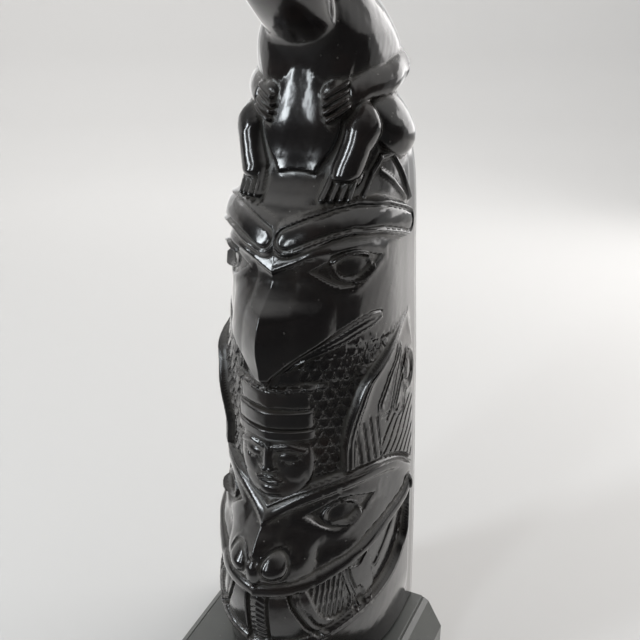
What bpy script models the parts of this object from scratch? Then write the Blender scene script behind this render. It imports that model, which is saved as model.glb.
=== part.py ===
"""A cast souvenir totem pole with a flat back, standing on a bevelled plinth.

The pole is one casting. Its carving is laid out flat on a sheet, the way it
would be drawn before it is cut, and the sheet is then wrapped round a column
with a flat slab at its back. The plinth is a separate casting below it.
Metres, +Z up, the front faces -Y. The origin is the middle of the underside.
"""
import math
import bpy
import bmesh
import numpy as np

# The pole
POLE_HEIGHT = 0.2780
POLE_FOOT_WIDTH = 0.0754
POLE_DEPTH = 0.0690
SLAB_THICKNESS = 0.0085
SLAB_LIP = 0.0012
RELIEF = 0.0010

# The plinth
PLINTH_HEIGHT = 0.0260
PLINTH_BAND = 0.0123
LEDGE_WIDTH = 0.0045
LEDGE_FALL = 0.0018
BEVEL_RUN = 0.0094
FRONT_MARGIN = 0.0070
PLATFORM_MARGIN = 0.0010
PLATFORM_RISE = 0.0010
SEAT_GAP = 0.0003
FRONT_TAPER = 0.0040
SEAT_TAPER = 0.0055

# The sheet is drawn with the pole 278 tall and its half girth 77 wide
SHEET_HIGH = 278.0
SHEET_HALF = 77.0
COLUMNS = 176
ROWS = 320
KEPT_SHARE = 0.0795

# The column's half width and depth up the pole, as shares of its foot
WIDTH_SHARES = ((0, 1.0), (39, 0.979), (60, 0.961), (79, 0.944), (98, 0.923), (116, 0.908), (133, 0.886),
                (149, 0.863), (165, 0.843), (183, 0.821), (192, 0.800), (200, 0.765), (206, 0.72), (213, 0.64),
                (221, 0.56), (229, 0.535), (237, 0.50), (244, 0.43), (250, 0.37), (256, 0.385), (262, 0.42),
                (268, 0.40), (273, 0.31), (276, 0.20), (278, 0.06))
DEPTH_SHARES = ((0, 0.945), (20, 0.955), (36, 0.98), (48, 0.97), (58, 0.935), (66, 0.90), (74, 0.87),
                (84, 0.845), (96, 0.83), (105, 0.835), (117, 0.84), (133, 0.828), (149, 0.797), (165, 0.775),
                (173, 0.785), (179, 0.735), (187, 0.612), (193.6, 0.535), (200, 0.515), (211, 0.51),
                (230, 0.49), (244, 0.52), (256, 0.59), (266, 0.57), (272, 0.46), (276, 0.30), (278, 0.12))
SECTION_POWER = 2.3

# Lines of the carving on the sheet, from the middle outwards or from the foot upwards
HEAD_RIM = ((0, 78.0), (10, 83.6), (25.8, 88.2), (36, 89.0), (50, 88), (62, 84), (72, 78), (77, 75))
LIP_LINE = ((0, 47.5), (8, 48.2), (15.8, 49.6), (30, 53.8), (42, 58.6), (54, 62.0), (64, 65.0), (71, 69.0))
JAW_LINE = ((0, 20.0), (10, 21.3), (20, 24.5), (32, 28.2), (45.5, 32.0), (55, 36.0), (62, 41.5), (68.5, 50.5),
            (71, 60), (71, 69))
WING_EDGE = ((76, 25.0), (84, 25.2), (91.8, 25.4), (99, 25.6), (106.8, 26.8), (112, 28.2), (116, 29.8),
             (120, 31.6), (123.8, 34.0), (129, 40.4), (133, 48.0), (138.2, 61.5), (142, 76))
MOUTH_LINE = ((0, 122.8), (1.5, 126.4), (6, 132.2), (13, 138.0), (19, 141.0), (25.5, 143.4), (33, 145.8),
              (40.5, 147.2), (46, 147.0))
JAW_EDGE = ((0, 122.2), (3, 126.2), (8.5, 130.6), (13, 133.6), (20, 136.2), (26.5, 138.0), (32.8, 140.0),
            (41.8, 142.2), (46.5, 144.0))
BROW_BAR = ((3.2, 173.6), (12, 176.5), (20, 178.7), (28, 179.9), (44, 179.2), (58, 177.2), (63, 176.0))


def ease(x):
    """A soft step from 0 to 1."""
    x = np.clip(x, 0.0, 1.0)
    return x * x * (3.0 - 2.0 * x)


def curve(points, x):
    """A smooth curve through the points."""
    px = np.array([p[0] for p in points], float)
    py = np.array([p[1] for p in points], float)
    slope = np.gradient(py, px)
    i = np.clip(np.searchsorted(px, x, side="right") - 1, 0, len(px) - 2)
    step = px[i + 1] - px[i]
    t = np.clip((x - px[i]) / step, 0.0, 1.0)
    a = (1 + 2 * t) * (1 - t) ** 2 * py[i] + t * t * (3 - 2 * t) * py[i + 1]
    return a + t * (1 - t) ** 2 * step * slope[i] - t * t * (1 - t) * step * slope[i + 1]


def dome(a, v, at, size, power=0.5):
    """A mound of height 1 over an oval."""
    r = ((a - at[0]) / size[0]) ** 2 + ((v - at[1]) / size[1]) ** 2
    return np.clip(1.0 - r, 0.0, 1.0) ** power


def to_path(a, v, points):
    """The distance to a bent line, and the share of its length at the nearest point."""
    best = np.full(np.shape(a), 1e9)
    share = np.zeros(np.shape(a))
    spans = [math.dist(p, q) for p, q in zip(points, points[1:])]
    gone = 0.0
    for (p, q), span in zip(zip(points, points[1:]), spans):
        dx, dy = q[0] - p[0], q[1] - p[1]
        t = np.clip(((a - p[0]) * dx + (v - p[1]) * dy) / span ** 2, 0.0, 1.0)
        d = np.hypot(a - p[0] - t * dx, v - p[1] - t * dy)
        near = d < best
        best = np.where(near, d, best)
        share = np.where(near, (gone + t * span) / sum(spans), share)
        gone += span
    return best, share


def rod(dist, radius, height):
    """A half-round bar along a line."""
    return height * np.sqrt(np.clip(1.0 - (dist / radius) ** 2, 0.0, 1.0))


def cut(dist, width, depth):
    """A round-bottomed groove along a line."""
    return -depth * ease(1.0 - dist / width)


def merge(one, other, reach):
    """The higher of two forms, with the corner between them filled."""
    t = np.clip(0.5 + 0.5 * (one - other) / reach, 0.0, 1.0)
    return other + (one - other) * t + reach * t * (1.0 - t)


def eye(a, v, inner, outer, top, bottom, ball, ball_size):
    """A carved eye: a sharp-cornered hollow, and in it an oval ball dished at its middle."""
    upper, lower = curve((inner, top, outer), a), curve((inner, bottom, outer), a)
    inside = np.minimum(upper - v, v - lower)
    beyond = np.maximum(inner[0] - a, a - outer[0])
    inside = np.where(beyond > 0, np.minimum(inside, -beyond), inside)
    h = 0.4 * np.exp(-((inside + 0.8) / 1.0) ** 2) - 2.1 * ease(inside / 2.2)
    rim = np.hypot((a - ball[0]) / ball_size[0], (v - ball[1]) / ball_size[1])
    dish = 2.2 * ease((1.04 - rim) / 0.30) - 1.3 * ease((0.74 - rim) / 0.40)
    return h + dish * ease((inside + 0.1) / 1.4)


def lower_head(a, v):
    """The broad head at the foot of the pole, with its open mouth."""
    below = curve(HEAD_RIM, a) - v
    h = (0.9 + 0.9 * ease(a / 20.0)) * ease((below + 0.8) / 2.0) * ease(v / 25.0)
    h += 0.7 * np.exp(-((below - 1.0) / 1.0) ** 2) + 0.3 * np.exp(-((below - 4.4) / 2.0) ** 2)
    h -= 1.0 * ease((below - 5.2) / 2.0) * ease((66 - a) / 16.0) * ease((v - 56) / 6.0)
    h += 6.2 * ease((58.0 - v) / 18.0) * ease((v - 4.0) / 24.0) * np.clip(1.0 - a / 34.0, 0, 1) ** 1.5
    h += eye(a, v, (10.5, 73.6), (42.5, 76.0), (24.0, 78.4), (23.0, 66.2), (26.0, 72.4), (9.2, 5.2))
    lift = curve(((44, 0.0), (50, 0.36), (54, 0.72), (58, 0.97), (62, 1.0), (66.4, 0.84), (70, 0.40), (73, 0.06),
                  (76, 0.0)), v)
    h += 10.4 * np.clip(lift, 0, 1) * np.clip(1.0 - (a / 17.0) ** 1.5, 0, 1)
    flare = np.hypot((a - 6.3) / 3.7, (v - 60.0) / 5.2)
    h += 1.8 * ease((1.25 - flare) / 0.35) - 2.2 * ease((0.80 - flare) / 0.35)
    h += 1.4 * dome(a, v, (0.0, 55.5), (2.8, 6.0)) + 0.6 * dome(a, v, (38.0, 63.0), (24.0, 9.0), 1.0)
    lip_v, jaw_v = curve(LIP_LINE, a), curve(JAW_LINE[:9], a)
    mouth = ease((lip_v - 1.2 - v) / 1.4) * ease((v - jaw_v - 0.6) / 1.4) * ease((70.5 - a) / 1.8)
    h -= 3.0 * mouth
    u_form = to_path(a, v, ((19.0, 52.0), (21.5, 42.0), (24.5, 34.5)))[0]
    inner_u = to_path(a, v, ((20.2, 50.0), (22.4, 44.0), (25.0, 36.0)))[0]
    h += mouth * 2.5 * ease((a - 3.4) / 1.0) * ease((u_form - 11.4) / 0.9) * (a < 20)
    h += mouth * 1.6 * ease((3.2 - a) / 1.0)
    h += mouth * (2.2 * ease((11.0 - u_form) / 1.1) - 1.0 * ease((7.2 - inner_u) / 1.0))
    lobe = to_path(a, v, ((35.0, 47.0), (36.5, 38.0)))[0]
    h += mouth * (u_form > 11.2) * (a > 24) * 2.0 * ease((8.0 - lobe) / 1.0)
    h -= mouth * 1.3 * dome(a, v, (36.2, 34.8), (2.3, 4.6), 0.7)
    hollow = to_path(a, v, ((30.5, 51.8), (35.0, 51.0), (38.0, 54.5)))[0]
    h -= mouth * 1.6 * ease((2.8 - hollow) / 1.0)
    h += mouth * 1.9 * ease(1.0 - to_path(a, v, ((46, 44.0), (60, 58.5)))[0] / 4.0)
    h += rod(to_path(a, v, LIP_LINE)[0], 2.2, 1.6)
    h += rod(to_path(a, v, JAW_LINE)[0], 2.5, 1.8)
    return h


def wings(a, v):
    """Folded wings down both sides, with an oval joint and long feathers."""
    inside = a - curve(WING_EDGE, v)
    here = ease((v - curve(HEAD_RIM, a)) / 2.0) * ease((143 - v) / 17.0)
    h = 3.2 * ease((inside + 0.5) / 1.6) + 1.9 * ease((v - 96.0) / 20.0) * np.exp(-((inside - 2.0) / 4.5) ** 2)
    h -= 0.9 * np.exp(-((inside - 2.0) / 0.7) ** 2) + 1.2 * ease((inside - 4.0) / 1.2)
    wing = ease((inside - 4.4) / 1.2)
    for top, low, size in (((57.5, 131.0), (47.0, 111.0), 4.2), ((64.5, 127.0), (58.0, 108.0), 4.4)):
        blade, along = to_path(a, v, (top, low))
        body = size * (0.55 + 0.75 * along) - blade
        h += wing * (1.2 * ease(body / 1.0) - 0.8 * ease((body - 2.2) / 1.2))
    quill = np.mod(a - 31.0 + 0.16 * (v - 90.0), 7.4) / 7.4
    h += wing * 0.9 * np.sin(math.pi * quill) * ease((108.0 - v) / 2.5)
    return h * here


def figure_head(a, v):
    """The small human head under the beak, wearing a ringed hat."""
    h = 5.0 * dome(a, v, (0, 94.0), (15.0, 17.5), 0.45)
    for low, high, half, lift in ((104.3, 107.6, 15.4, 5.2), (108.2, 114.8, 15.0, 4.6),
                                  (115.4, 122.4, 14.2, 3.4), (123.0, 131.0, 11.0, 2.4)):
        middle, reach = (low + high) / 2, (high - low) / 2 + 0.4
        ring = np.clip(1.0 - ((v - middle) / reach) ** 8, 0, 1) * np.clip(1.0 - (a / half) ** 2, 0, 1) ** 0.4
        h = np.maximum(h, (lift + 1.2 * np.clip(1 - a / 7.0, 0, 1)) * ring)
    face = ease((104.0 - v) / 1.2) * ease((v - 79.0) / 1.5)
    h += face * 0.6 * np.clip(1 - a / 12.0, 0, 1)
    h += face * 2.0 * np.clip(1 - (a / 2.4) ** 2, 0, 1) * ease((v - 90.5) / 1.2) * ease((102 - v) / 8.0 + 0.25)
    h += face * 0.9 * dome(a, v, (1.9, 92.0), (1.7, 1.5))
    h -= face * 1.4 * dome(a, v, (6.4, 97.0), (4.8, 2.8), 0.8)
    h += face * 1.1 * dome(a, v, (6.4, 96.6), (3.4, 1.6), 0.6)
    h += face * 0.9 * rod(to_path(a, v, ((2.4, 100.3), (6.5, 101.4), (11.4, 99.6)))[0], 1.2, 1.0)
    h += face * 0.9 * rod(to_path(a, v, ((0, 88.0), (4.0, 87.2)))[0], 1.0, 1.0)
    h += face * 0.9 * rod(to_path(a, v, ((0, 85.7), (2.9, 86.2)))[0], 1.0, 1.0)
    h += face * 1.0 * dome(a, v, (0, 82.4), (4.2, 2.4), 0.8)
    return h


def bird_head(a, v):
    """The great bird's head: brow bands, almond eyes and a hooked beak."""
    h = 0.8 * ease((v - 120) / 10.0) * ease((176 - v) / 6.0) * ease((70 - a) / 20.0)
    bar, along = to_path(a, v, BROW_BAR)
    h += (0.9 + 3.2 * ease(along / 0.6)) * ease((3.9 - bar) / 1.1) - 0.6 * np.exp(-((bar - 4.9) / 1.0) ** 2)
    h -= 0.5 * ease((2.4 - bar) / 1.0)
    ledge = v - curve(((0, 163.6), (5.8, 165.8), (12.8, 168.8), (26, 171.0), (44, 170.2), (56, 168.6), (70, 165)), a)
    h += 1.0 * np.exp(-(ledge / 1.5) ** 2) * ease((66 - a) / 8) * ease((46 - a) / 30.0)
    h += eye(a, v, (11.0, 163.4), (47.5, 167.0), (28.0, 170.0), (27.0, 157.2), (30.0, 164.4), (11.6, 5.9))
    lift = curve(((117, 0.22), (124.3, 0.50), (131, 0.66), (139.4, 0.90), (144.2, 0.91), (150, 0.77), (155, 0.32),
                  (159.5, 0.03), (164, 0.0)), v)
    upper_jaw, low_jaw = curve(MOUTH_LINE, a), curve(JAW_EDGE, a)
    over = ease((v - upper_jaw + 0.4) / 1.4) * ease((50.0 - a) / 2.0)
    h += 10.6 * np.clip(lift, 0, 1) * np.clip(1.0 - (a / 23.0), 0, 1) ** 1.2 * np.where(v > 124.0, over, 1.0)
    h += over * 1.0 * ease((30 - a) / 14.0) * ease((166 - v) / 30.0)
    h -= 1.0 * np.exp(-((v - upper_jaw) / 0.9) ** 2) * ease((47.5 - a) / 2.0) * ease(a / 2.0)
    band = np.minimum(upper_jaw - 0.6 - v, v - low_jaw)
    band = np.where(a > 44.0, np.minimum(band, 2.6 - np.hypot(a - 44.0, v - 144.8)), band)
    raised = (3.0 - 2.1 * ease((a - 12.0) / 18.0)) * ease((band + 0.3) / 1.4)
    return np.where(band > -1.0, merge(h, h * 0.4 + raised, 0.4), h)


def crouching_figure(a, v):
    """The animal that crouches on top, with its limbs drawn up."""
    belly = curve(((193, 8.0), (202, 14.5), (210, 21.0), (220, 27.0), (236, 30.0)), v)
    h = 1.8 * ease((v - 193.6) / 1.6) * ease((belly - a) / 2.6) * ease((236 - v) / 30.0)
    h += 6.0 * dome(a, v, (46.0, 236.0), (46.0, 20.0), 1.0)
    h = merge(h, 8.2 * dome(a, v, (58.0, 210.0), (24.0, 12.4), 0.6), 1.2)
    shin, along = to_path(a, v, ((34.5, 210.5), (27.5, 204.5), (20.5, 194.0)))
    h = merge(h, rod(shin, 7.4 - 0.6 * along, 8.0 - 0.8 * along), 0.8) * ease((v - 186.0) / 8.0)
    h = np.maximum(h, 4.4 * dome(a, v, (21.5, 193.0), (8.0, 5.0)))
    for toe in range(4):
        heel, tip = (15.4 + 3.2 * toe, 195.5), (13.0 + 3.4 * toe, 186.6)
        h = np.maximum(h, rod(to_path(a, v, (heel, tip))[0], 1.8, 4.4))
    arm, along = to_path(a, v, ((71.0, 227.5), (52.0, 223.0), (36.0, 221.4), (24.0, 218.0)))
    h = merge(h, rod(arm, 7.6 - 2.2 * along, 8.4 + 2.6 * ease(along / 0.4) - 3.4 * along), 0.6)
    upper = to_path(a, v, ((46.0, 246.0), (60.0, 239.0), (68.0, 230.0)))[0]
    h = merge(h, 5.4 * np.clip(1 - (upper / 19.0) ** 2, 0, 1) ** 1.2, 2.5)
    h = np.maximum(h, 4.8 * dome(a, v, (19.5, 217.0), (10.0, 6.2)))
    for finger in range(4):
        root = (29.0, 222.0 - 2.6 * finger)
        tip = (12.2 + 0.7 * abs(finger - 1.2), 219.4 - 2.5 * finger)
        h = np.maximum(h, rod(to_path(a, v, (root, tip))[0], 1.6, 5.2))
    for rib, high in ((((30.5, 187.0), (33.5, 193.6), (40.0, 198.6)), 2.4),
                      (((40.0, 198.6), (50.0, 199.8), (60, 193.0), (72, 183.6)), 2.2)):
        h = np.maximum(h, rod(to_path(a, v, rib)[0], 1.9, high))
    return h * ease((v - 181.0) / 2.0)


def top_head(a, v):
    """The head of the crouching animal: plain, with a blunt muzzle and small ears."""
    wide = 25.0 - 8.0 * ease((v - 232.0) / 12.0)
    muzzle = np.clip(1.0 - (a / wide) ** 2.2, 0, 1) ** (1.1 - 0.5 * ease((v - 234.0) / 10.0))
    profile = curve(((222.0, 0.0), (229.0, 0.08), (236.0, 0.34), (241.0, 0.74), (245.0, 0.95), (251.0, 1.0),
                     (256.0, 0.88), (260.5, 0.55), (265.0, 0.26), (272.0, 0.06), (278.0, 0.0)), v)
    h = 19.0 * muzzle * np.clip(profile, 0, 1)
    h = np.maximum(h, 4.0 * dome(a, v, (0, 259.0), (52.0, 22.0), 0.5))
    h += cut(to_path(a, v, ((0, 250.4), (9.0, 250.0), (19.0, 252.4)))[0], 1.2, 1.3)
    h += 1.3 * dome(a, v, (5.0, 258.0), (3.2, 2.6), 0.7)
    h += rod(to_path(a, v, ((10, 264.5), (18, 266.0), (27, 262.5)))[0], 2.0, 1.4)
    h += 1.6 * dome(a, v, (20.0, 261.0), (5.0, 3.2), 0.7)
    h += 4.2 * dome(a, v, (40.0, 269.5), (11.0, 6.5), 0.6)
    return h


def relief(s, v):
    """How far the carving stands out at a place on the sheet."""
    a = np.abs(s)
    h = lower_head(a, v) + wings(a, v) + bird_head(a, v)
    h = np.maximum(h, figure_head(a, v))
    h = np.where(v > 181.0, np.maximum(h, crouching_figure(a, v)), h)
    h = np.where(v > 222.0, merge(h, top_head(a, v), 1.0 * ease((v - 222.0) / 8.0) + 0.001), h)
    return h * ease((SHEET_HALF - a) / 5.0)


def section_angles(s):
    """The section's own angle at a distance round the sheet."""
    t = np.linspace(0.0, math.pi / 2, 2001)
    x = 34.0 * np.sin(t) ** (2 / SECTION_POWER)
    y = 60.0 * np.cos(t) ** (2 / SECTION_POWER)
    run = np.concatenate([[0.0], np.cumsum(np.hypot(np.diff(x), np.diff(y)))])
    return np.interp(np.abs(s) / SHEET_HALF, run / run[-1], t)


def wrap(s, v):
    """A place on the sheet, wrapped round the column and raised by the carving."""
    unit = POLE_HEIGHT / SHEET_HIGH
    slab_fade = ease((236.0 - v) / 24.0)
    half = POLE_FOOT_WIDTH / 2 * curve(WIDTH_SHARES, v) - SLAB_LIP * slab_fade
    slab = SLAB_THICKNESS * (0.35 + 0.65 * slab_fade) * ease((279.0 - v) / 6.0)
    deep = POLE_DEPTH * curve(DEPTH_SHARES, v) - slab
    t = section_angles(s)
    x = half * np.sin(t) ** (2 / SECTION_POWER)
    y = deep * np.cos(t) ** (2 / SECTION_POWER)
    nx = (x / half) ** (SECTION_POWER - 1) / half
    ny = (y / deep) ** (SECTION_POWER - 1) / deep
    long = np.hypot(nx, ny)
    out = relief(s, v) * RELIEF * ease((v + 0.4) / 2.0) * ease((279.5 - v) / 4.0)
    x = np.sign(s) * (x + out * nx / long)
    return x, -(y + slab + out * ny / long), v * unit, half + SLAB_LIP * slab_fade, slab


def paint(obj, name, color, rough, coat):
    """Gives the object its own material."""
    mat = bpy.data.materials.new(name)
    mat.use_nodes = True
    shader = mat.node_tree.nodes["Principled BSDF"]
    shader.inputs["Base Color"].default_value = (*color, 1.0)
    shader.inputs["Roughness"].default_value = rough
    shader.inputs["Metallic"].default_value = 0.0
    shader.inputs["Coat Weight"].default_value = coat
    obj.data.materials.append(mat)


def finish(bm, name, collection):
    """Turns a built shape into a named object."""
    bmesh.ops.recalc_face_normals(bm, faces=bm.faces)
    mesh = bpy.data.meshes.new(name)
    bm.to_mesh(mesh)
    bm.free()
    obj = bpy.data.objects.new(name, mesh)
    collection.objects.link(obj)
    return obj


def make_pole(collection, back):
    """The carved pole: a sheet of relief closed at its back by the flat slab."""
    bm = bmesh.new()
    bmesh.ops.create_grid(bm, x_segments=COLUMNS, y_segments=ROWS, size=1.0)
    across = np.array([round((p.co.x + 1) / 2 * COLUMNS) for p in bm.verts])
    up = np.array([round((p.co.y + 1) / 2 * ROWS) for p in bm.verts])
    v = SHEET_HIGH * up / ROWS
    s = SHEET_HALF * np.clip((across - 3) / (COLUMNS - 6) * 2 - 1, -1, 1)
    x, y, z, half, slab = wrap(s, v)
    side = np.where(across < COLUMNS / 2, -1.0, 1.0)
    step = np.minimum(across, COLUMNS - across)
    x = np.where(step == 2, side * half, x)
    y = np.where(step == 2, -slab, y)
    x = np.where(step == 1, side * half, x)
    y = np.where(step == 1, 0.0, y)
    x = np.where(step == 0, 0.0, x)
    y = np.where(step == 0, 0.0, y)
    for point, px, py, pz in zip(bm.verts, x, y, z):
        point.co = (px, py + back, pz + PLINTH_HEIGHT + SEAT_GAP)
    bmesh.ops.remove_doubles(bm, verts=bm.verts, dist=1e-6)
    ends = [e for e in bm.edges if e.is_boundary]
    bmesh.ops.holes_fill(bm, edges=ends, sides=0)
    bmesh.ops.triangulate(bm, faces=bm.faces)
    obj = finish(bm, "pole", collection)
    thin = obj.modifiers.new("Fewer faces", "DECIMATE")
    thin.ratio = KEPT_SHARE
    thin.use_symmetry = True
    paint(obj, "black gloss", (0.012, 0.010, 0.010), 0.16, 0.6)
    return obj


def make_plinth(collection, back):
    """The plinth: a block with a sloping top edge and a raised seat for the pole, narrower at the front."""
    seat_x = POLE_FOOT_WIDTH / 2 + PLATFORM_MARGIN
    seat_y = POLE_DEPTH + FRONT_MARGIN + PLATFORM_MARGIN
    groove = LEDGE_WIDTH * 0.28
    steps = ((0.0, PLINTH_HEIGHT, SEAT_TAPER), (groove * 0.6, PLINTH_HEIGHT - PLATFORM_RISE, SEAT_TAPER),
             (groove, PLINTH_HEIGHT - PLATFORM_RISE * 0.6, FRONT_TAPER),
             (LEDGE_WIDTH, PLINTH_HEIGHT - LEDGE_FALL, FRONT_TAPER),
             (LEDGE_WIDTH + BEVEL_RUN, PLINTH_BAND, FRONT_TAPER), (LEDGE_WIDTH + BEVEL_RUN, 0.0, FRONT_TAPER))
    bm = bmesh.new()
    rings = []
    for out, level, taper in steps:
        at_back, at_front = seat_x + out, seat_x + out - taper
        corners = ((-at_back, back), (-at_front, back - seat_y - out), (at_front, back - seat_y - out), (at_back, back))
        ring = [bm.verts.new((cx, cy, level)) for cx, cy in corners]
        rings.append([bm.edges.new((ring[i], ring[(i + 1) % 4])) for i in range(4)])
    for upper, lower in zip(rings, rings[1:]):
        bmesh.ops.bridge_loops(bm, edges=upper + lower)
    bmesh.ops.holes_fill(bm, edges=rings[0] + rings[-1], sides=4)
    obj = finish(bm, "plinth", collection)
    paint(obj, "satin black", (0.020, 0.022, 0.019), 0.42, 0.0)
    return obj


def main():
    for old in list(bpy.data.objects):
        bpy.data.objects.remove(old, do_unlink=True)
    collection = bpy.data.collections.new("totem_pole")
    bpy.context.scene.collection.children.link(collection)
    depth = POLE_DEPTH + FRONT_MARGIN + PLATFORM_MARGIN + LEDGE_WIDTH + BEVEL_RUN
    make_pole(collection, depth / 2)
    make_plinth(collection, depth / 2)


main()
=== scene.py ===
"""A glossy black cast totem pole on its plinth, seen close from the front right."""
import math

import bmesh
import bpy
import numpy as np
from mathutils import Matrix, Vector


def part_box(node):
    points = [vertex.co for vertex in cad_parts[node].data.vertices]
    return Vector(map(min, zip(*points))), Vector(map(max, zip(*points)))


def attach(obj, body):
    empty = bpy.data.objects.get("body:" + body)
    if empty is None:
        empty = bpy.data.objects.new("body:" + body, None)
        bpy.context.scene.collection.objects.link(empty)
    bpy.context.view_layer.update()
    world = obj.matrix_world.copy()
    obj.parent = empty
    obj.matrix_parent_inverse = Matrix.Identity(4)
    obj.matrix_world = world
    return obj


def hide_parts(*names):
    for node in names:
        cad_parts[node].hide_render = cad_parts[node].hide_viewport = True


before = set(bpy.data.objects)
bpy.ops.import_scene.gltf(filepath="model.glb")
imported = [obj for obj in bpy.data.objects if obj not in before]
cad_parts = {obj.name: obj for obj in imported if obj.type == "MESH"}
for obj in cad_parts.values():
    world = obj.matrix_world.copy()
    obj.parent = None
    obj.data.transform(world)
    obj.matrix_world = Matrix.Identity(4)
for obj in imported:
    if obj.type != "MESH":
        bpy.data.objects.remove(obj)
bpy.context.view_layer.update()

# The plinth is one casting in satin black resin: a block with sloping top edges.
# A low seat with a groove round it carries the pole, and its edges are sanded round.

plinth_low, plinth_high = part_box("plinth")
BACK = plinth_high[1]
PLINTH_TOP = plinth_high[2]
PLINTH_HALF = plinth_high[0]
PLINTH_DEPTH = plinth_high[1] - plinth_low[1]
BAND_TOP = 0.0123
BEVEL_IN = 0.0094
LEDGE_IN = 0.0045
LEDGE_FALL = 0.0018
GROOVE_IN = 0.00126
GROOVE_SHARE = 0.4
SEAT_RISE = 0.0010
FRONT_TAPER = 0.0040
SEAT_TAPER = 0.0055
EDGE_ROUND = 0.0005


def grow_top(bm, steps):
    """Draws a block up from its top face through a list of insets and heights."""
    top = max(bm.faces, key=lambda f: f.calc_center_median().z)
    for inset, rise in steps:
        bmesh.ops.inset_individual(bm, faces=[top], thickness=inset, depth=0.0)
        for corner in top.verts:
            corner.co.z += rise


bm = bmesh.new()
bmesh.ops.create_cube(bm, size=1.0)
for corner in bm.verts:
    corner.co.x = math.copysign(PLINTH_HALF, corner.co.x)
    corner.co.y = BACK if corner.co.y > 0 else BACK - PLINTH_DEPTH
    corner.co.z = BAND_TOP if corner.co.z > 0 else 0.0
grow_top(bm, (
    (BEVEL_IN, PLINTH_TOP - LEDGE_FALL - BAND_TOP),
    (LEDGE_IN - GROOVE_IN, LEDGE_FALL - SEAT_RISE * (1 - GROOVE_SHARE)),
    (GROOVE_IN * GROOVE_SHARE, -SEAT_RISE * GROOVE_SHARE),
    (GROOVE_IN * (1 - GROOVE_SHARE), SEAT_RISE),
))
# The back is flush from top to bottom, and the front narrows: the seat and its groove most.
SEAT_EDGE = PLINTH_HALF - BEVEL_IN - LEDGE_IN + GROOVE_IN * 0.8
for corner in bm.verts:
    if corner.co.y > 0:
        corner.co.y = BACK
    else:
        taper = SEAT_TAPER if abs(corner.co.x) < SEAT_EDGE else FRONT_TAPER
        corner.co.x -= math.copysign(taper, corner.co.x)
bmesh.ops.recalc_face_normals(bm, faces=bm.faces)
plinth_mesh = bpy.data.meshes.new("plinth_block")
bm.to_mesh(plinth_mesh)
bm.free()
plinth = bpy.data.objects.new("plinth_block", plinth_mesh)
bpy.context.scene.collection.objects.link(plinth)
soften = plinth.modifiers.new("Sanded edges", "BEVEL")
soften.width = EDGE_ROUND
soften.segments = 3
soften.limit_method = "ANGLE"
soften.angle_limit = math.radians(20)
soften.harden_normals = True
plinth_mesh.shade_smooth()


def new_material(name):
    """An empty material, with its Principled shader, nodes and links."""
    mat = bpy.data.materials.new(name)
    mat.use_nodes = True
    nodes, links = mat.node_tree.nodes, mat.node_tree.links
    return mat, nodes["Principled BSDF"], nodes, links


def remap(nodes, links, value, first, then=(0.0, 1.0), soft=False):
    """Maps one range of values onto another, with soft ends where asked."""
    node = nodes.new("ShaderNodeMapRange")
    node.interpolation_type = "SMOOTHSTEP" if soft else "LINEAR"
    node.inputs["From Min"].default_value, node.inputs["From Max"].default_value = first
    node.inputs["To Min"].default_value, node.inputs["To Max"].default_value = then
    links.new(value, node.inputs["Value"])
    return node.outputs["Result"]


def combine(nodes, links, kind, value, other):
    """Joins a value with a number or with another value, by the named sum."""
    node = nodes.new("ShaderNodeMath")
    node.operation = kind
    links.new(value, node.inputs[0])
    if isinstance(other, float):
        node.inputs[1].default_value = other
    else:
        links.new(other, node.inputs[1])
    return node.outputs["Value"]


def tint(nodes, links, color, share, towards):
    """Mixes a colour with a fixed one by a share from 0 to 1."""
    node = nodes.new("ShaderNodeMix")
    node.data_type = "RGBA"
    node.inputs["B"].default_value = (*towards, 1.0)
    links.new(color, node.inputs["A"])
    links.new(share, node.inputs["Factor"])
    return node.outputs["Result"]


def color_ramp(nodes, links, value, stops):
    """Turns a value from 0 to 1 into a colour, through the given stops."""
    ramp = nodes.new("ShaderNodeValToRGB")
    marks = ramp.color_ramp.elements
    while len(marks) < len(stops):
        marks.new(0.5)
    for mark, (at, color) in zip(marks, stops):
        mark.position = at
        mark.color = (*color, 1.0)
    links.new(value, ramp.inputs["Fac"])
    return ramp.outputs["Color"]


def raise_grain(nodes, links, shader, height, strength, distance):
    """Lets a height from 0 to 1 ruffle a material's surface, by a distance in metres."""
    node = nodes.new("ShaderNodeBump")
    node.inputs["Strength"].default_value = strength
    node.inputs["Distance"].default_value = distance
    links.new(height, node.inputs["Height"])
    links.new(node.outputs["Normal"], shader.inputs["Normal"])


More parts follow.
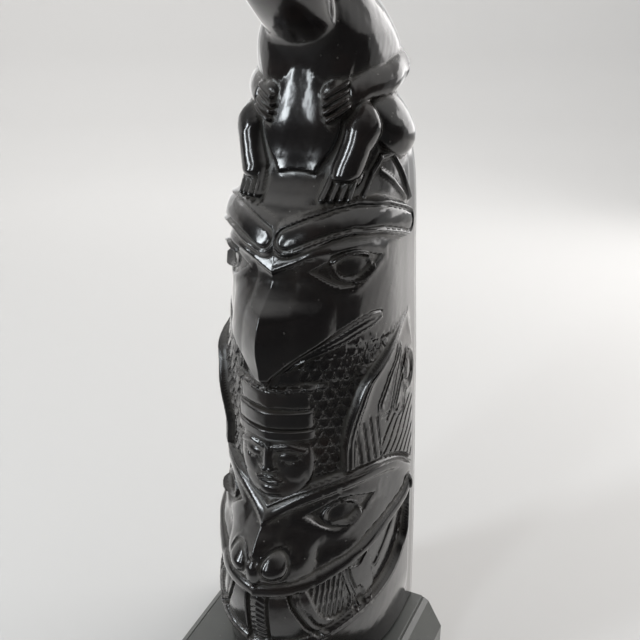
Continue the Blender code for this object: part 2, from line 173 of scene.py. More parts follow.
def grain_group():
    """A shader group: fine cast grain, soft cloudiness and sparse dust specks."""
    group = bpy.data.node_groups.new("Cast grain", "ShaderNodeTree")
    for name, first in (("Grain size", 900.0), ("Cloud size", 40.0), ("Speck size", 700.0)):
        socket = group.interface.new_socket(name, in_out="INPUT", socket_type="NodeSocketFloat")
        socket.default_value = first
    for name in ("Grain", "Clouds", "Specks"):
        group.interface.new_socket(name, in_out="OUTPUT", socket_type="NodeSocketFloat")
    nodes, links = group.nodes, group.links
    entry, leave = nodes.new("NodeGroupInput"), nodes.new("NodeGroupOutput")
    place = nodes.new("ShaderNodeTexCoord")
    for source, out in (("Grain size", "Grain"), ("Cloud size", "Clouds")):
        noise = nodes.new("ShaderNodeTexNoise")
        noise.inputs["Detail"].default_value = 3.0
        links.new(place.outputs["Object"], noise.inputs["Vector"])
        links.new(entry.outputs[source], noise.inputs["Scale"])
        links.new(noise.outputs["Fac"], leave.inputs[out])
    cells = nodes.new("ShaderNodeTexVoronoi")
    links.new(place.outputs["Object"], cells.inputs["Vector"])
    links.new(entry.outputs["Speck size"], cells.inputs["Scale"])
    split = nodes.new("ShaderNodeSeparateColor")
    links.new(cells.outputs["Color"], split.inputs["Color"])
    near = remap(nodes, links, cells.outputs["Distance"], (0.16, 0.06))
    rare = combine(nodes, links, "GREATER_THAN", split.outputs["Red"], 0.80)
    links.new(combine(nodes, links, "MULTIPLY", near, rare), leave.inputs["Specks"])
    return group


grain = grain_group()


def add_grain(nodes, grain_size, cloud_size, speck_size):
    """Places the cast grain in a material with its own sizes, per metre."""
    node = nodes.new("ShaderNodeGroup")
    node.node_tree = grain
    node.inputs["Grain size"].default_value = grain_size
    node.inputs["Cloud size"].default_value = cloud_size
    node.inputs["Speck size"].default_value = speck_size
    return node


SATIN_BLACKS = ((0.30, (0.013, 0.015, 0.013)), (0.62, (0.024, 0.026, 0.022)), (1.0, (0.034, 0.035, 0.030)))
GREY_DUST = (0.10, 0.10, 0.095)
satin, shader, nodes, links = new_material("satin black resin")
cast = add_grain(nodes, 2600.0, 60.0, 500.0)
black = color_ramp(nodes, links, cast.outputs["Clouds"], SATIN_BLACKS)
links.new(tint(nodes, links, black, cast.outputs["Specks"], GREY_DUST), shader.inputs["Base Color"])
matt = remap(nodes, links, cast.outputs["Grain"], (0.0, 1.0), (0.34, 0.52))
links.new(matt, shader.inputs["Roughness"])
raise_grain(nodes, links, shader, cast.outputs["Grain"], 0.25, 0.0001)
plinth_mesh.materials.append(satin)
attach(plinth, "root")
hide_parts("plinth")

# The pole is one casting in glossy black resin, polished by hand: a column with a flat slab at its back.
# Its carving is drawn on a flat sheet, which is then wrapped round the column. A place on the sheet is
# (a, v): a to either side of the middle line, up to 77, and v up from the foot, up to 278.

pole_low, pole_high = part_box("pole")
SEAT = pole_low[2]
SHEET_HIGH = 278.0
SHEET_HALF = 77.0
UNIT = (pole_high[2] - pole_low[2]) / SHEET_HIGH
MM = 0.001
SLAB_HALF = 0.0377
SLAB_THICK = 0.0085
SLAB_ROUND = 0.0005
POLE_DEPTH = 0.0690
SECTION_POWER = 2.3
WIDTH_SHARES = ((0, 1.0), (39, 0.979), (60, 0.961), (79, 0.944), (98, 0.923), (116, 0.908), (133, 0.886),
                (149, 0.863), (165, 0.843), (183, 0.821), (192, 0.800), (200, 0.765), (206, 0.72),
                (213, 0.64), (221, 0.56), (229, 0.535), (237, 0.50), (244, 0.43), (250, 0.37), (256, 0.385),
                (262, 0.42), (268, 0.40), (273, 0.31), (276, 0.20), (278, 0.06))
DEPTH_SHARES = ((0, 0.945), (20, 0.955), (36, 0.98), (48, 0.97), (58, 0.935), (66, 0.90), (74, 0.87),
                (84, 0.845), (96, 0.83), (105, 0.835), (117, 0.84), (133, 0.828), (149, 0.797),
                (165, 0.775), (173, 0.785), (179, 0.735), (187, 0.612), (193.6, 0.535), (200, 0.515),
                (211, 0.51), (230, 0.49), (244, 0.52), (256, 0.59), (266, 0.57), (272, 0.46), (276, 0.30),
                (278, 0.12))


def ease(x):
    """A soft step from 0 to 1."""
    x = np.clip(x, 0.0, 1.0)
    return x * x * (3.0 - 2.0 * x)


def fall(x):
    """A slope that is 1 where x is 0, and 0 where x is 1 or more."""
    return np.clip(1.0 - x, 0.0, 1.0)


def bell(x, width):
    """A narrow rounded rise where x is 0."""
    return np.exp(-(x / width) ** 2)


def curve(points, x):
    """A smooth curve through the points."""
    px = np.array([p[0] for p in points], float)
    py = np.array([p[1] for p in points], float)
    slope = np.gradient(py, px)
    i = np.clip(np.searchsorted(px, x, side="right") - 1, 0, len(px) - 2)
    step = px[i + 1] - px[i]
    t = np.clip((x - px[i]) / step, 0.0, 1.0)
    a = (1 + 2 * t) * (1 - t) ** 2 * py[i] + t * t * (3 - 2 * t) * py[i + 1]
    return a + t * (1 - t) ** 2 * step * slope[i] - t * t * (1 - t) * step * slope[i + 1]


def dome(a, v, at, size, power=0.5):
    """A mound of height 1 over an oval."""
    return fall(((a - at[0]) / size[0]) ** 2 + ((v - at[1]) / size[1]) ** 2) ** power


def to_path(a, v, points):
    """The distance to a bent line, and the share of its length at the nearest point."""
    best = np.full(np.shape(a), 1e9)
    share = np.zeros(np.shape(a))
    spans = [math.dist(p, q) for p, q in zip(points, points[1:])]
    gone = 0.0
    for (p, q), span in zip(zip(points, points[1:]), spans):
        dx, dy = q[0] - p[0], q[1] - p[1]
        t = np.clip(((a - p[0]) * dx + (v - p[1]) * dy) / span ** 2, 0.0, 1.0)
        d = np.hypot(a - p[0] - t * dx, v - p[1] - t * dy)
        near = d < best
        best = np.where(near, d, best)
        share = np.where(near, (gone + t * span) / sum(spans), share)
        gone += span
    return best, share


def distance(a, v, *points):
    """The distance to a bent line."""
    return to_path(a, v, points)[0]


def rod(dist, radius, height):
    """A half-round bar along a line."""
    return height * np.sqrt(fall((dist / radius) ** 2))


def groove(dist, width, depth):
    """A round-bottomed groove along a line."""
    return -depth * ease(1.0 - np.abs(dist) / width)


def merge(one, other, reach):
    """The higher of two forms, with the corner between them filled."""
    t = np.clip(0.5 + 0.5 * (one - other) / reach, 0.0, 1.0)
    return other + (one - other) * t + reach * t * (1.0 - t)


def stripes(x, pitch):
    """The distance to the nearest of a row of lines, a pitch apart."""
    return np.abs(np.mod(x, pitch) - pitch / 2)


def eye(a, v, inner, outer, top, bottom, ball, ball_size):
    """A carved eye: a sharp-cornered hollow, and in it an oval ball dished at its middle."""
    upper, lower = curve((inner, top, outer), a), curve((inner, bottom, outer), a)
    inside = np.minimum(upper - v, v - lower)
    beyond = np.maximum(inner[0] - a, a - outer[0])
    inside = np.where(beyond > 0, np.minimum(inside, -beyond), inside)
    h = 0.25 * bell(inside + 1.5, 1.6) - 3.2 * ease(inside / 2.4)
    rim = np.hypot((a - ball[0]) / ball_size[0], (v - ball[1]) / ball_size[1])
    dish = 3.1 * ease((1.03 - rim) / 0.20) - 1.7 * ease((0.88 - rim) / 0.55)
    return h + dish * ease((inside + 0.1) / 0.9)


RIM_LINE = ((0, 78.0), (10, 83.6), (25.8, 88.2), (36, 89.0), (50, 88), (62, 84), (72, 78), (77, 75))
LIP_LINE = ((0, 47.5), (8, 48.2), (15.8, 49.6), (30, 53.8), (42, 58.6), (54, 62.0), (64, 65.0), (71, 69.0))
JAW_LINE = ((0, 20.0), (10, 21.3), (20, 24.5), (32, 28.2), (45.5, 32.0), (55, 36.0), (62, 41.5),
            (68.5, 50.5), (71, 60), (71, 69))
SNOUT_LIFT = ((44, 0.0), (50, 0.36), (54, 0.72), (58, 0.97), (62, 1.0), (66.4, 0.86), (70, 0.58),
              (74, 0.32), (78, 0.12), (81, 0.0))


def lower_head(a, v):
    """The broad head at the foot of the pole: its rim, eyes, sharp snout and round nostrils."""
    below = curve(RIM_LINE, a) - v
    h = (0.9 + 0.9 * ease(a / 20.0)) * ease((below + 0.8) / 2.0) * ease(v / 25.0)
    h += 0.7 * bell(below - 0.9, 0.7) - 0.6 * bell(below - 2.3, 0.6) + 0.3 * bell(below - 4.4, 2.0)
    h -= 1.0 * ease((below - 5.2) / 2.0) * ease((66 - a) / 16.0) * ease((v - 56) / 6.0)
    h += 6.2 * ease((58.0 - v) / 18.0) * ease((v - 4.0) / 24.0) * fall(a / 34.0) ** 1.5
    h += eye(a, v, (10.5, 73.6), (42.5, 76.0), (24.0, 78.4), (23.0, 66.2), (26.0, 72.4), (9.2, 5.2))
    sharp = ease((v - 58.0) / 8.0)
    snout = fall(a / 21.0) ** 1.25 * sharp + fall((a / 17.0) ** 1.6) * (1.0 - sharp)
    h += 10.4 * np.clip(curve(SNOUT_LIFT, v), 0, 1) * snout
    h += 1.5 * fall(a / 6.0) * ease((v - 60.0) / 4.0) * ease((76.0 - v) / 5.0)
    flare = np.hypot((a - 5.7) / 3.1, (v - 58.4) / 5.0)
    h += 1.9 * fall(flare ** 2) ** 0.6 - 0.5 * bell(flare - 1.08, 0.12)
    h += 0.4 * bell(flare - 1.34, 0.12) * ease((v - 57.0) / 3.0)
    h += 1.4 * dome(a, v, (0.0, 55.0), (2.4, 6.0)) + 0.6 * dome(a, v, (38.0, 63.0), (24.0, 9.0), 1.0)
    return h + open_mouth(a, v)


def open_mouth(a, v):
    """The lower head's mouth: a hollow with a tongue, a hatched U form and leaf forms, between two bars."""
    lip_v, jaw_v = curve(LIP_LINE, a), curve(JAW_LINE[:-1], a)
    mouth = ease((lip_v - 1.2 - v) / 1.2) * ease((v - jaw_v - 0.6) / 1.2) * ease((70.5 - a) / 1.6)
    u_form = distance(a, v, (19.0, 52.0), (21.5, 42.0), (24.5, 34.5))
    inner_u = distance(a, v, (20.2, 50.0), (22.4, 44.0), (25.0, 36.0))
    h = 2.5 * ease((a - 3.4) / 0.7) * ease((u_form - 11.4) / 0.7) * (a < 20) - 3.0
    h += 1.6 * ease((3.2 - a) / 0.8)
    h += 2.2 * ease((11.0 - u_form) / 0.9) - 0.7 * bell(u_form - 9.0, 0.7) - 1.0 * ease((7.2 - inner_u) / 0.8)
    h -= 0.6 * ease((6.6 - inner_u) / 0.6) * bell(stripes(a * 0.75 - v * 0.10, 1.6), 0.36)
    h -= 0.35 * ease((3.0 - a) / 0.5) * bell(stripes(a * 0.55 + v * 0.75, 1.9), 0.45)
    h += 2.0 * ease((8.0 - distance(a, v, (35.0, 47.0), (36.5, 38.0))) / 0.8) * (u_form > 11.2) * (a > 24)
    h -= 1.3 * dome(a, v, (36.2, 34.8), (2.3, 4.6), 0.7)
    h -= 1.8 * ease((2.8 - distance(a, v, (30.5, 51.8), (35.0, 51.0), (38.0, 54.5))) / 0.8)
    cross = np.minimum(distance(a, v, (31, 50), (38, 54)), distance(a, v, (34, 54.5), (36.2, 49.8)))
    h += 1.4 * bell(cross, 0.5)
    h += 1.9 * ease(1.0 - distance(a, v, (46, 44.0), (60, 58.5)) / 4.0)
    faded = ease((75 - a) / 8.0)
    lip, jaw = distance(a, v, *LIP_LINE), distance(a, v, *JAW_LINE)
    bars = rod(lip, 2.6, 1.5 * faded) - 0.3 * bell(v - lip_v - 3.2, 1.0)
    bars += rod(jaw, 2.7, 1.8 * faded) - 0.4 * bell(jaw, 0.9)
    return mouth * h + bars


WING_EDGE = ((76, 25.0), (84, 25.2), (91.8, 25.4), (99, 25.6), (106.8, 26.8), (112, 28.2), (116, 29.8),
             (120, 31.6), (123.8, 34.0), (129, 40.4), (133, 48.0), (138.2, 61.5), (142, 76))
BEAK_LOW_EDGE = ((0, 122.2), (3, 126.2), (8.5, 130.6), (13, 133.6), (20, 136.2), (26.5, 138.0),
                 (32.8, 140.0), (41.8, 142.2), (46.5, 144.0))
SCALE_HIGH, SCALE_WIDE = 3.7, 4.6


def breast(a, v, inside):
    """Rows of small rounded feathers between the wings, down to the hat and the lower head's rim."""
    row = np.floor(v / SCALE_HIGH)
    shift = np.mod(row, 2) * SCALE_WIDE / 2
    across = np.mod(a + shift + 0.35 * np.sin(row * 2.1), SCALE_WIDE) - SCALE_WIDE / 2
    down = v / SCALE_HIGH - row
    tip = np.hypot(across / (SCALE_WIDE / 2), (1.0 - down) * 0.95)
    scale = 1.0 * (1.0 - down) * ease((1.05 - tip) / 0.22) + 0.30 * ease((tip - 1.0) / 0.2)
    scale *= 1.0 + 0.35 * np.sin(row * 1.7 + np.floor((a + shift) / SCALE_WIDE) * 2.9)
    scale += 0.05 * np.sin(a * 2.9 + v * 1.3) * np.sin(v * 3.1 - a * 0.9)
    here = ease((-0.6 - inside) / 1.2) * ease((v - 86.5 - 0.05 * a) / 3.0)
    under_beak = np.where(a < 47.0, ease((curve(BEAK_LOW_EDGE, a) - 0.3 - v) / 1.0), 1.0)
    return scale * here * under_beak


def wings(a, v):
    """Folded wings down both sides, with long feathers, and the breast between them."""
    inside = a - curve(WING_EDGE, v)
    here = ease((v - curve(RIM_LINE, a)) / 1.6) * ease((143 - v) / 17.0)
    h = 3.2 * ease((inside + 0.5) / 1.2) + 1.9 * ease((v - 96.0) / 20.0) * bell(inside - 2.0, 4.5)
    h -= 0.6 * bell(inside - 1.7, 0.55) + 0.35 * bell(inside - 3.4, 0.50)
    h -= 0.9 * ease((inside - 4.0) / 0.8)
    wing = ease((inside - 4.4) / 1.0)
    for top, low, size in (((57.5, 131.0), (47.0, 111.0), 4.2), ((64.5, 127.0), (58.0, 108.0), 4.4)):
        blade, along = to_path(a, v, (top, low))
        body = size * (0.55 + 0.75 * along) - blade
        h += wing * (0.45 * ease(body / 0.8) - 0.45 * bell(body - 1.6, 0.55) - 0.2 * ease((body - 2.8) / 1.0))
    loop = np.hypot((a - 66.0) / 6.0, (v - 119.5) / 8.0)
    h += wing * (0.5 * bell(loop - 1.0, 0.10) - 0.6 * bell(loop - 0.62, 0.10))
    slits = stripes((a - 44.0) - (v - 98.0) * 0.95 + 0.5 * np.sin(v * 0.45), 5.6)
    low_right = ease((a - 43.0 - (v - 92.0) * 0.3) / 1.5) * ease((109.0 - v) / 2.0) * ease((a - 42.0) / 1.5)
    h -= wing * 0.55 * low_right * bell(slits, 0.52)
    strips = stripes(a - 31.0 + 0.16 * (v - 90.0), 3.7)
    low_left = ease((44.5 - a) / 1.0) * ease((109.5 - v - 0.25 * np.abs(a - 38)) / 1.5)
    h += wing * 0.55 * low_left * (0.4 - 1.2 * bell(strips, 0.55))
    return (h + breast(a, v, inside)) * here


# Each ring of the hat: its lower and upper edge, its half width and how far it stands out.
HAT_RINGS = ((104.3, 107.6, 15.4, 5.2), (108.2, 114.8, 15.0, 4.6),
             (115.4, 122.4, 14.2, 3.4), (123.0, 131.0, 11.0, 2.4))


def figure_head(a, v):
    """The small human head under the beak, wearing a ringed hat."""
    h = 5.0 * dome(a, v, (0, 94.0), (15.0, 17.5), 0.45)
    for low, high, half, lift in HAT_RINGS:
        middle, reach = (low + high) / 2, (high - low) / 2 + 0.35
        ring = fall((np.abs(v - middle) / reach) ** 14) * fall((a / half) ** 2) ** 0.4
        h = np.maximum(h, (lift + 1.6 * fall(a / 10.0)) * ring)
    nose = fall((a / np.maximum(1.2 + 0.12 * (103 - v), 0.5)) ** 2) ** 0.8
    lid = np.hypot((a - 6.4) / 3.5, (v - 96.6) / 1.7)
    features = 0.6 * fall(a / 12.0)
    features += 2.0 * nose * ease((v - 90.5) / 1.2) * ease((102 - v) / 8.0 + 0.25)
    features += 0.9 * dome(a, v, (1.9, 92.0), (1.6, 1.4), 0.8)
    features -= 1.1 * dome(a, v, (6.4, 97.0), (4.8, 2.8), 0.8)
    features += 1.2 * fall(lid ** 2) ** 0.6 + 0.35 * bell(lid - 1.1, 0.14)
    features += 0.9 * rod(distance(a, v, (2.4, 100.3), (6.5, 101.4), (11.4, 99.6)), 1.1, 1.0)
    features += 0.9 * rod(distance(a, v, (0, 88.0), (1.2, 88.3), (4.0, 87.2)), 0.9, 1.0)
    features += 0.9 * rod(distance(a, v, (0, 85.9), (2.9, 86.4)), 1.0, 1.0)
    features += 1.0 * dome(a, v, (0, 82.4), (4.2, 2.4), 0.8)
    features += 0.5 * dome(a, v, (8.5, 91.5), (3.6, 4.2), 1.0)
    return h + features * ease((104.0 - v) / 1.0) * ease((v - 79.0) / 1.5)


MOUTH_LINE = ((0, 122.8), (1.5, 126.4), (6, 132.2), (13, 138.0), (19, 141.0), (25.5, 143.4), (33, 145.8),
              (40.5, 147.2), (46, 147.0))
BROW_BAR = ((4.3, 173.9), (12, 177.0), (20, 179.6), (28, 180.9), (44, 180.2), (58, 177.8), (63, 176.5))
BROW_LEDGE = ((0, 163.6), (5.8, 165.8), (12.8, 168.8), (26, 171.0), (44, 170.2), (56, 168.6), (70, 165))
BEAK_LIFT = ((117, 0.22), (124.3, 0.50), (131, 0.66), (139.4, 0.90), (144.2, 0.91), (150, 0.77),
             (155, 0.32), (159.5, 0.03), (164, 0.0))


def bird_head(a, v):
    """The great bird's head: brow bands, almond eyes and a hooked beak."""
    h = 0.8 * ease((v - 120) / 10.0) * ease((176 - v) / 6.0) * ease((70 - a) / 20.0)
    bar, along = to_path(a, v, BROW_BAR)
    h += (1.2 + 2.9 * ease(along / 0.6)) * ease((6.8 - bar) / 2.6) - 0.9 * bell(bar - 3.4, 0.60)
    h += 0.15 * ease((3.0 - bar) / 3.0) + 0.2 * bell(bar - 4.3, 0.5)
    h += 1.0 * bell(v - curve(BROW_LEDGE, a), 1.4) * ease((66 - a) / 8) * ease((46 - a) / 30.0)
    h += eye(a, v, (11.0, 163.4), (47.5, 167.0), (28.0, 170.0), (27.0, 157.2), (30.0, 164.4), (11.6, 5.9))
    mouth_v = curve(MOUTH_LINE, a)
    over = ease((v - mouth_v + 0.9) / 1.1) * ease((50.0 - a) / 2.0)
    beak = fall(a / 23.0) ** 1.15 * np.maximum(over, ease((124.8 - v) / 1.6))
    h += 10.6 * np.clip(curve(BEAK_LIFT, v), 0, 1) * beak
    h += 2.0 * fall(a / 8.0) * ease((170.0 - v) / 5.0) * ease((v - 124.5) / 4.0)
    h += over * 1.0 * ease((30 - a) / 14.0) * ease((166 - v) / 30.0)
    h -= 0.6 * bell(v - mouth_v + 0.2, 0.45) * ease((47.5 - a) / 2.0) * ease(a / 3.0)
    band = np.minimum(mouth_v - 0.2 - v, v - curve(BEAK_LOW_EDGE, a))
    band = np.where(a > 44.0, np.minimum(band, 2.6 - np.hypot(a - 44.0, v - 144.8)), band)
    thick = 3.0 - 2.1 * ease((a - 12.0) / 18.0)
    low_beak = h * 0.4 + thick * ease((band + 0.3) / 1.2) - 0.35 * bell(band - 1.7, 0.7)
    return np.where(band > -1.0, merge(h, low_beak, 0.4), h)


FIGURE_FOOT, HEAD_FOOT = 181.0, 222.0
BELLY_LINE = ((192, 8.5), (196, 11.0), (202, 16.5), (210, 22.0), (220, 27.0), (236, 30.0))
LEAF_RIBS = (
    (((30.5, 187.0), (33.5, 193.6), (40.0, 198.6)), 2.4),
    (((40.0, 198.6), (50.0, 199.8), (60, 193.0), (72, 183.6)), 2.2),
    (((40.0, 194.0), (51.0, 190.5), (66.0, 184.0)), 1.6),
)


def crouching_figure(a, v):
    """The animal that crouches on top, with its limbs drawn up and leaf-like ribs behind its feet."""
    belly = curve(BELLY_LINE, v)
    h = 2.4 * ease((v - 193.4 + 0.02 * a * a) / 1.8) * ease((belly - a) / 3.0) * ease((236 - v) / 30.0)
    h += 6.0 * dome(a, v, (46.0, 236.0), (46.0, 20.0), 1.0)
    h = merge(h, 8.2 * dome(a, v, (58.0, 210.0), (24.0, 12.4), 0.6), 1.2)
    shin, along = to_path(a, v, ((34.5, 210.5), (27.0, 205.0), (20.0, 194.0)))
    h = merge(h, rod(shin, 7.4 - 0.6 * along, 8.0 - 0.8 * along), 0.8) * ease((v - 186.0) / 8.0)
    h = np.maximum(h, 4.4 * dome(a, v, (21.5, 193.0), (8.0, 5.0)))
    for toe in range(4):
        heel, tip = (15.4 + 3.2 * toe, 195.5), (13.0 + 3.4 * toe, 186.6)
        h = np.maximum(h, rod(distance(a, v, heel, tip), 1.75, 4.4))
    arm, along = to_path(a, v, ((71.0, 227.5), (52.0, 223.2), (38.0, 221.6), (28.5, 219.0)))
    h = merge(h, rod(arm, 7.6 - 2.2 * along, 8.4 + 2.6 * ease(along / 0.4) - 5.6 * along), 0.6)
    shoulder = distance(a, v, (46.0, 246.0), (60.0, 239.0), (68.0, 230.0))
    h = merge(h, 5.4 * fall((shoulder / 19.0) ** 2) ** 1.2, 2.5)
    h = np.maximum(h, 4.6 * dome(a, v, (21.5, 217.6), (11.0, 6.6)))
    for finger in range(4):
        root = (29.5, 224.0 - 2.3 * finger)
        tip = (12.4 + 0.8 * abs(finger - 1.4), 217.8 - 2.4 * finger)
        ridge, reach = to_path(a, v, (root, tip))
        h = np.maximum(h, rod(ridge, 1.4, 2.4 + 3.5 * ease(reach / 0.4) - 0.9 * reach))
    for rib, high in LEAF_RIBS:
        h = np.maximum(h, rod(distance(a, v, *rib), 1.6, high))
    return h * ease((v - FIGURE_FOOT) / 3.0)


MUZZLE_PROFILE = ((222.0, 0.0), (229.0, 0.01), (233.0, 0.07), (237.0, 0.32), (241.0, 0.68), (245.0, 0.92),
                  (251.0, 1.0), (256.0, 0.88), (260.5, 0.55), (265.0, 0.26), (272.0, 0.06), (278.0, 0.0))


def top_head(a, v):
    """The head of the crouching animal: plain, with a blunt muzzle and small ears."""
    wide = 29.0 - 5.0 * ease((v - 232.0) / 12.0)
    muzzle = fall((a / wide) ** 2.2) ** (1.2 - 0.2 * ease((v - 244.0) / 10.0))
    h = 19.0 * muzzle * np.clip(curve(MUZZLE_PROFILE, v), 0, 1)
    h = merge(h, 5.2 * dome(a, v, (0, 262.0), (56.0, 28.0), 1.0), 3.0)
    h += groove(distance(a, v, (0, 254.0), (9.0, 254.0), (18.0, 256.6)), 1.2, 1.2)
    h += 1.3 * dome(a, v, (5.0, 258.0), (3.2, 2.6), 0.7)
    h += groove(distance(a, v, (3.6, 257.6), (5.6, 258.2)), 0.9, 0.8)
    h += rod(distance(a, v, (10, 264.5), (18, 266.0), (27, 262.5)), 2.0, 1.4)
    top, bottom = (20.5, 262.8), (20.5, 258.6)
    h += 0.6 * eye(a, v, (14.0, 260.0), (27.0, 261.0), top, bottom, (20.4, 260.8), (4.6, 2.2))
    h += 4.2 * dome(a, v, (40.0, 269.5), (11.0, 6.5), 0.6) - 1.6 * dome(a, v, (39.0, 269.0), (6.0, 3.6), 0.8)
    return h


def hand_waves(s, v):
    """The slight unevenness that polishing by hand leaves."""
    w = 0.030 * np.sin(s * 0.61 + 1.3 * np.sin(v * 0.21)) * np.sin(v * 0.47 + 0.9 * np.sin(s * 0.33))
    w += 0.014 * np.sin(s * 1.13 + v * 0.37 + 2.0) * np.sin(v * 0.83 - s * 0.29)
    return w + 0.006 * np.sin(s * 2.3 - v * 1.1) * np.sin(v * 2.1 + s * 0.7 + 1.0)


def relief(s, v):
    """How far the carving stands out, in mm, at a place on the sheet. Its right half mirrors its left."""
    a = np.abs(s)
    h = np.maximum(lower_head(a, v) + wings(a, v) + bird_head(a, v), figure_head(a, v))
    h = np.where(v > FIGURE_FOOT, np.maximum(h, crouching_figure(a, v)), h)
    h = np.where(v > HEAD_FOOT, merge(h, top_head(a, v), 2.0 * ease((v - HEAD_FOOT - 2.0) / 10.0) + 0.001), h)
    return h * ease((SHEET_HALF - a) / 5.0) + hand_waves(s, v) * ease((70.0 - a) / 18.0)


# The share of the girth at each turn from the middle line to the carved edge, on a usual section.
USUAL_HALF, USUAL_DEEP = 34.0, 60.0
turn = np.linspace(0.0, math.pi / 2, 2001)
outward = USUAL_HALF * np.sin(turn) ** (2 / SECTION_POWER)
forward = USUAL_DEEP * np.cos(turn) ** (2 / SECTION_POWER)
girth = np.concatenate([[0.0], np.cumsum(np.hypot(np.diff(outward), np.diff(forward)))])
girth /= girth[-1]


def sizes_at(v):
    """The pole's half width and the slab's thickness at a height."""
    half = SLAB_HALF * curve(WIDTH_SHARES, v)
    slab = SLAB_THICK * (0.35 + 0.65 * ease((236.0 - v) / 24.0)) * ease((SHEET_HIGH + 1.0 - v) / 6.0)
    return half, slab


def wrap(s, v):
    """A place on the sheet, wrapped round the column and raised by the carving."""
    half, slab = sizes_at(v)
    deep = POLE_DEPTH * curve(DEPTH_SHARES, v) - slab
    t = np.interp(np.abs(s) / SHEET_HALF, girth, turn)
    x = half * np.sin(t) ** (2 / SECTION_POWER)
    y = deep * np.cos(t) ** (2 / SECTION_POWER)
    nx = (x / half) ** (SECTION_POWER - 1) / half
    ny = (y / deep) ** (SECTION_POWER - 1) / deep
    long = np.hypot(nx, ny)
    out = relief(s, v) * MM * ease((v + 0.4) / 2.0) * ease((SHEET_HIGH + 1.5 - v) / 4.0)
    x = np.sign(s) * (x + out * nx / long)
    return np.stack([x, BACK - (y + slab + out * ny / long), SEAT + v * UNIT], -1)


def slab_side(step, v):
    """A place on the slab beyond the carved edge: 0 at that edge, 7 at the middle of the back."""
    half, slab = sizes_at(v)
    r = np.minimum(SLAB_ROUND, 0.2 * slab)
    zero = np.zeros_like(v)
    out = np.stack([half, half, half, half, half, half - 0.3 * r, half - r, zero])
    deep = np.stack([slab, 0.8 * slab, 0.6 * slab, 0.4 * slab, r, 0.3 * r, zero, zero])
    whole = np.clip(step.astype(int), 0, len(out) - 2)
    part, rows = step - whole, np.arange(len(v))
    x = out[whole, rows] * (1 - part) + out[whole + 1, rows] * part
    y = deep[whole, rows] * (1 - part) + deep[whole + 1, rows] * part
    return x, BACK - y


def roughest(bm, tolerance):
    """The faces of the flat sheet where the carving bends more than one cell can follow."""
    ends = np.array([(min(q.co.x for q in f.verts), max(q.co.x for q in f.verts),
                      min(q.co.y for q in f.verts), max(q.co.y for q in f.verts)) for f in bm.faces])
    left, right, low, high = ends.T[..., None]
    part = np.linspace(0.0, 1.0, 5)
    along, up = part[None].repeat(5, 0).ravel(), part[:, None].repeat(5, 1).ravel()
    s = left + (right - left) * along
    h = relief(s, low + (high - low) * up)
    bottom = h[:, :1] * (1 - along) + h[:, 4:5] * along
    top = h[:, 20:21] * (1 - along) + h[:, 24:] * along
    bent = np.abs(h - (bottom * (1 - up) + top * up)).max(1) > tolerance
    crest = np.abs(s).min(1) < 0.01
    rough = (bent | crest) & (np.abs(s).max(1) < SHEET_HALF + 0.01)
    return [f for f, pick in zip(bm.faces, rough) if pick]


# The sheet starts in square cells, with SIDE narrow columns more at each side for the slab.
# Cells are then split twice where the carving is rough, and everything is wrapped at the end.
CELL = 1.4
SIDE = 7
COLUMNS, ROWS = round(2 * SHEET_HALF / CELL), round(SHEET_HIGH / CELL)
bm = bmesh.new()
bmesh.ops.create_grid(bm, x_segments=COLUMNS + 2 * SIDE, y_segments=ROWS, size=1.0)
for point in bm.verts:
    column = point.co.x * (COLUMNS / 2 + SIDE)
    beyond = max(abs(column) - COLUMNS / 2, 0.0)
    point.co.x = math.copysign((abs(column) - beyond) * 2 * SHEET_HALF / COLUMNS + beyond, column)
    point.co.y = (point.co.y + 1) / 2 * SHEET_HIGH
for tolerance in (0.13, 0.205):
    fine = {e for f in roughest(bm, tolerance) for e in f.edges}
    bmesh.ops.subdivide_edges(bm, edges=list(fine), cuts=1, use_grid_fill=True)
pole_mesh = bpy.data.meshes.new("carved_pole")
bm.to_mesh(pole_mesh)
bm.free()
flat = np.empty(len(pole_mesh.vertices) * 3)
pole_mesh.vertices.foreach_get("co", flat)
across, v = flat[0::3], flat[1::3]
s = np.clip(across, -SHEET_HALF, SHEET_HALF)
beyond = np.clip(np.abs(across) - SHEET_HALF, 0.0, SIDE)
carved = beyond < 1e-4
places = wrap(s, v)
slab_x, slab_y = slab_side(beyond, v)
places[:, 0] = np.where(carved, places[:, 0], np.sign(across) * slab_x)
places[:, 1] = np.where(carved, places[:, 1], slab_y)
pole_mesh.vertices.foreach_set("co", places.ravel())

# The map lays the whole girth out flat. Dust lies in the cuts; what faces up gets a little of the same pale
# grey, a painted reflection of the light from above.
DUST_REACH = 1.6
NEAR = 0.10
MAP_WIDE = 2 * (SHEET_HALF + SIDE)
corner_point = np.empty(len(pole_mesh.loops), int)
pole_mesh.loops.foreach_get("vertex_index", corner_point)
on_map = np.stack([(across / MAP_WIDE + 0.5)[corner_point], (v / SHEET_HIGH)[corner_point]], -1)
pole_mesh.uv_layers.new(name="sheet").data.foreach_set("uv", on_map.ravel())
ways = ((DUST_REACH, 0), (-DUST_REACH, 0), (0, DUST_REACH), (0, -DUST_REACH))
around = sum(relief(s + ds, v + dv) for ds, dv in ways) / 4
in_cuts = np.clip((around - relief(s, v)) / 0.6, 0.0, 1.0) * carved
edge = SHEET_HALF - 0.01
east = wrap(np.clip(s + NEAR, -edge, edge), v) - wrap(np.clip(s - NEAR, -edge, edge), v)
north = wrap(s, v + NEAR) - wrap(s, v - NEAR)
facing = np.cross(east, north)
facing /= np.linalg.norm(facing, axis=1, keepdims=True) + 1e-12
# Painted reflection: faces turned up are tinted pale grey as light from above would show on them, more on the
# top head.
painted_top_sheen = ease((facing[:, 2] - 0.45) / 0.5) * (0.20 + 0.45 * ease((v - 240.0) / 16.0)) * carved
pole_mesh.attributes.new("dust_and_top_sheen", "FLOAT", "POINT").data.foreach_set("value", np.maximum(in_cuts, painted_top_sheen))

